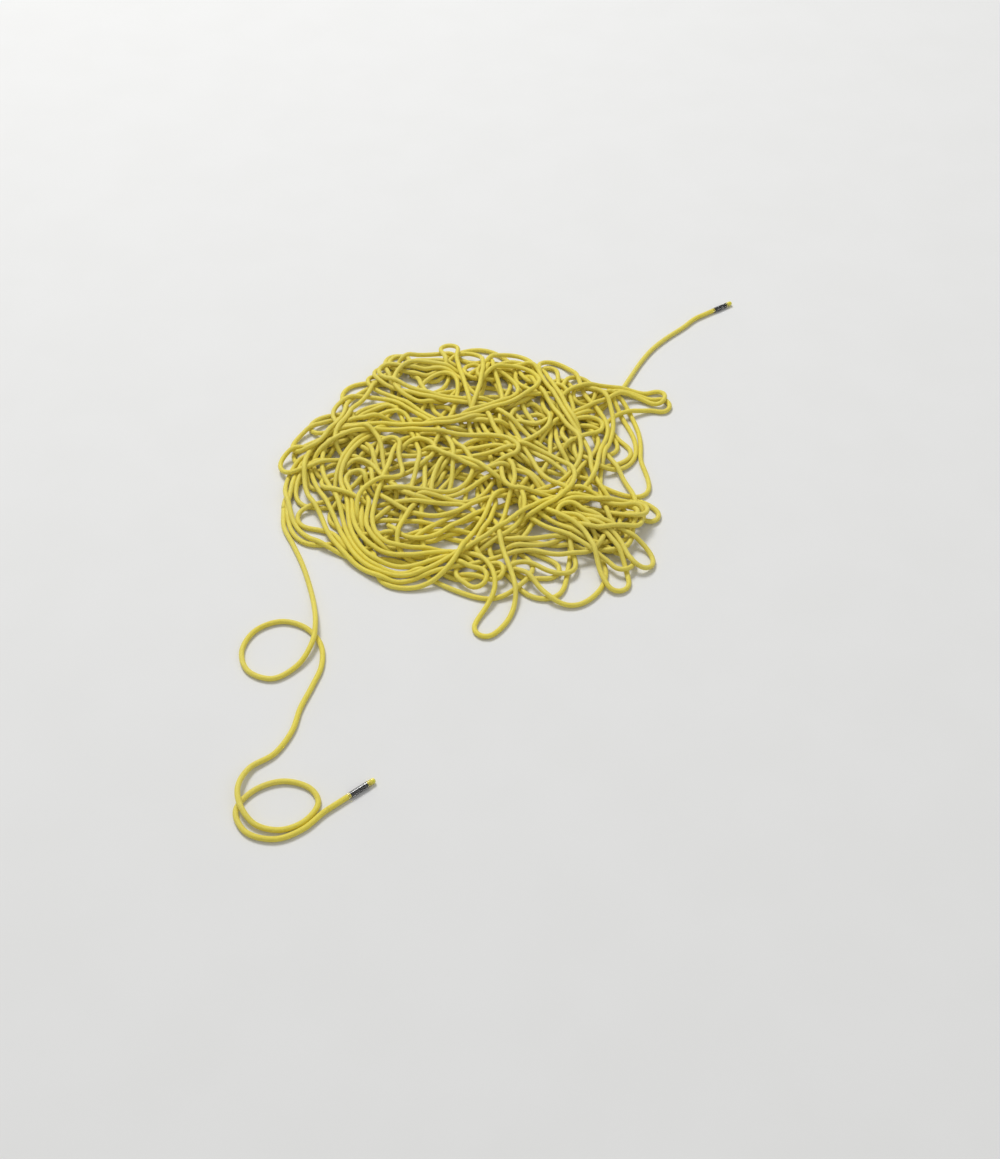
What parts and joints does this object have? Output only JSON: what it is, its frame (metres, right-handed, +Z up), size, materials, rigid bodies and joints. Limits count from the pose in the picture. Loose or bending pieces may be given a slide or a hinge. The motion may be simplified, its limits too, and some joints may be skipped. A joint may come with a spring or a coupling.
{
  "type": "dynamic climbing rope",
  "caption": "Round braided-sheath climbing rope dropped in a loose heap, both ends pulled clear, each finished with a label band, clear shrink tube and melted tip.",
  "frame": {"origin": "on the ground under the middle of the whole rope's box", "axes": "+Z up from the ground, +Y along the long way from the near end to the far end, +X to the right"},
  "size_m": [1.0026, 1.4384, 0.04],
  "materials": {
    "rope_sheath": "braided polyamide, satin",
    "core_yarn": "twisted white polyamide strands",
    "marker_yarn": "coloured marker yarn",
    "label_print": "printed label film, bare of print",
    "shrink_clear": "clear shrink tube, glossy",
    "melted_polyamide": "melted and hardened polyamide, smooth"
  },
  "bodies": {
    "root": {"near_tail": "rope_sheath", "rope_pile": "rope_sheath", "far_tail": "rope_sheath", "near_sheath_end": "rope_sheath", "near_core_strand_1": "core_yarn", "near_core_strand_2": "core_yarn", "near_core_strand_3": "core_yarn", "near_core_strand_4": "core_yarn", "near_core_strand_5": "core_yarn", "near_core_strand_6": "core_yarn", "near_core_strand_7": "core_yarn", "near_core_strand_8": "core_yarn", "near_core_strand_9": "core_yarn", "near_core_strand_10": "core_yarn", "near_core_strand_11": "core_yarn", "near_core_strand_12": "core_yarn", "near_marker_yarn": "marker_yarn", "near_label_band": "label_print", "near_shrink_tube": "shrink_clear", "near_melted_tip": "melted_polyamide", "far_sheath_end": "rope_sheath", "far_core_strand_1": "core_yarn", "far_core_strand_2": "core_yarn", "far_core_strand_3": "core_yarn", "far_core_strand_4": "core_yarn", "far_core_strand_5": "core_yarn", "far_core_strand_6": "core_yarn", "far_core_strand_7": "core_yarn", "far_core_strand_8": "core_yarn", "far_core_strand_9": "core_yarn", "far_core_strand_10": "core_yarn", "far_core_strand_11": "core_yarn", "far_core_strand_12": "core_yarn", "far_marker_yarn": "marker_yarn", "far_label_band": "label_print", "far_shrink_tube": "shrink_clear", "far_melted_tip": "melted_polyamide"}
  },
  "joints": []
}
